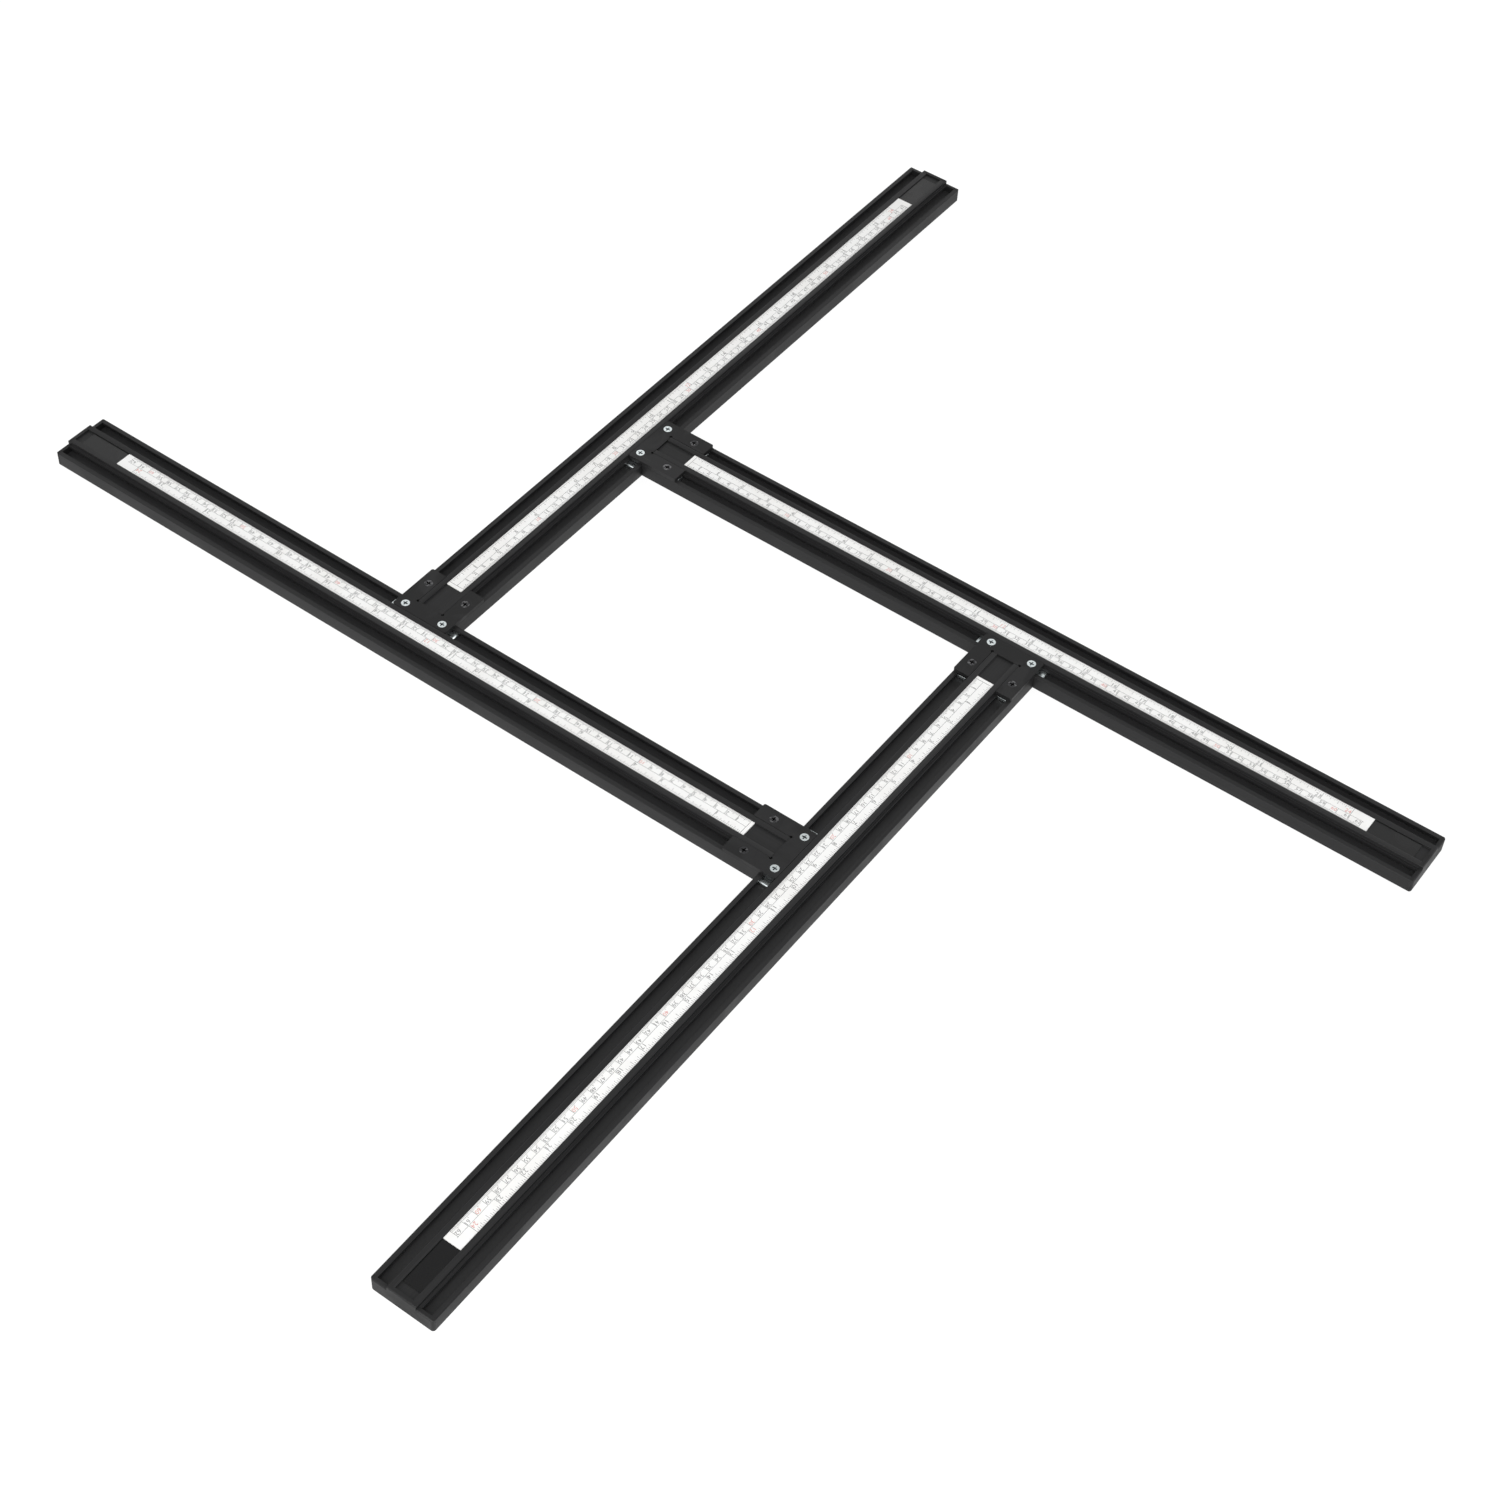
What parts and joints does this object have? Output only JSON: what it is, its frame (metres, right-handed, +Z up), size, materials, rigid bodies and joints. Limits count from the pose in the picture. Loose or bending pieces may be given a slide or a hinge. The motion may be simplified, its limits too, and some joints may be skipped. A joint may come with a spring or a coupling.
{
  "type": "adjustable marking and routing frame",
  "caption": "Adjustable rectangular marking and routing frame: slotted black arms in a pinwheel, each with a printed scale strip, clamped to the next by a corner bracket and screws.",
  "frame": {"origin": "middle of the rectangular opening, on the plane that the rails rest on", "axes": "+X along the front and back arms towards the back arm's free end, +Y along the left and right arms from the front arm to the back arm, +Z up out of the scales"},
  "size_m": [1.0872, 1.1814, 0.0152],
  "materials": {
    "anodised_rail": "black anodised, satin, with fine extrusion lines",
    "moulded_black": "moulded black nylon, fine matt texture",
    "scale_strip": "off-white strip printed with a scale in black and red",
    "black_label": "bare black label, semi-gloss",
    "zinc_steel": "bright zinc plate",
    "black_oxide_steel": "black oxide, satin"
  },
  "bodies": {
    "back_arm": {"back_rail": "anodised_rail", "back_scale_strip": "scale_strip", "back_blank_label": "black_label", "back_end_cap": "moulded_black", "back_corner_bracket": "moulded_black", "back_clamp_nut_bar": "zinc_steel", "back_fixing_screws": "black_oxide_steel", "back_fixing_nuts": "zinc_steel"},
    "left_arm": {"left_rail": "anodised_rail", "left_scale_strip": "scale_strip", "left_blank_label": "black_label", "left_end_cap": "moulded_black", "left_corner_bracket": "moulded_black", "left_clamp_nut_bar": "zinc_steel", "left_fixing_screws": "black_oxide_steel", "left_fixing_nuts": "zinc_steel"},
    "front_arm": {"front_rail": "anodised_rail", "front_scale_strip": "scale_strip", "front_blank_label": "black_label", "front_end_cap": "moulded_black", "front_corner_bracket": "moulded_black", "front_clamp_nut_bar": "zinc_steel", "front_fixing_screws": "black_oxide_steel", "front_fixing_nuts": "zinc_steel"},
    "right_arm": {"right_rail": "anodised_rail", "right_scale_strip": "scale_strip", "right_blank_label": "black_label", "right_end_cap": "moulded_black", "right_corner_bracket": "moulded_black", "right_clamp_nut_bar": "zinc_steel", "right_fixing_screws": "black_oxide_steel", "right_fixing_nuts": "zinc_steel"},
    "back_inner_screw": {"back_inner_clamp_screw": "zinc_steel"},
    "back_outer_screw": {"back_outer_clamp_screw": "zinc_steel"},
    "left_inner_screw": {"left_inner_clamp_screw": "zinc_steel"},
    "left_outer_screw": {"left_outer_clamp_screw": "zinc_steel"},
    "front_inner_screw": {"front_inner_clamp_screw": "zinc_steel"},
    "front_outer_screw": {"front_outer_clamp_screw": "zinc_steel"},
    "right_inner_screw": {"right_inner_clamp_screw": "zinc_steel"},
    "right_outer_screw": {"right_outer_clamp_screw": "zinc_steel"}
  },
  "joints": [
    {"name": "width_slide", "type": "slide", "parent": "front_arm", "child": "left_arm", "axis": [-1, 0, 0], "range_m": [-0.2875, 0.3161]},
    {"name": "height_slide", "type": "slide", "parent": "front_arm", "child": "right_arm", "axis": [0, 1, 0], "range_m": [-0.1935, 0.4101]},
    {"name": "back_slide", "type": "slide", "parent": "left_arm", "child": "back_arm", "axis": [0, 1, 0], "range_m": [-0.1935, 0.4101]},
    {"name": "back_inner_screw_turn", "type": "hinge", "parent": "back_arm", "child": "back_inner_screw", "pos_m": [-0.172, 0.125, 0.0152], "axis": [0, 0, 1], "range_deg": [0, 360]},
    {"name": "back_outer_screw_turn", "type": "hinge", "parent": "back_arm", "child": "back_outer_screw", "pos_m": [-0.172, 0.162, 0.0152], "axis": [0, 0, 1], "range_deg": [0, 360]},
    {"name": "left_inner_screw_turn", "type": "hinge", "parent": "left_arm", "child": "left_inner_screw", "pos_m": [-0.172, -0.125, 0.0152], "axis": [0, 0, 1], "range_deg": [0, 360]},
    {"name": "left_outer_screw_turn", "type": "hinge", "parent": "left_arm", "child": "left_outer_screw", "pos_m": [-0.209, -0.125, 0.0152], "axis": [0, 0, 1], "range_deg": [0, 360]},
    {"name": "front_inner_screw_turn", "type": "hinge", "parent": "front_arm", "child": "front_inner_screw", "pos_m": [0.172, -0.125, 0.0152], "axis": [0, 0, 1], "range_deg": [0, 360]},
    {"name": "front_outer_screw_turn", "type": "hinge", "parent": "front_arm", "child": "front_outer_screw", "pos_m": [0.172, -0.162, 0.0152], "axis": [0, 0, 1], "range_deg": [0, 360]},
    {"name": "right_inner_screw_turn", "type": "hinge", "parent": "right_arm", "child": "right_inner_screw", "pos_m": [0.172, 0.125, 0.0152], "axis": [0, 0, 1], "range_deg": [0, 360]},
    {"name": "right_outer_screw_turn", "type": "hinge", "parent": "right_arm", "child": "right_outer_screw", "pos_m": [0.209, 0.125, 0.0152], "axis": [0, 0, 1], "range_deg": [0, 360]}
  ],
  "couplings": [
    {"joint": "back_slide", "follows": "height_slide", "ratio": 1}
  ]
}
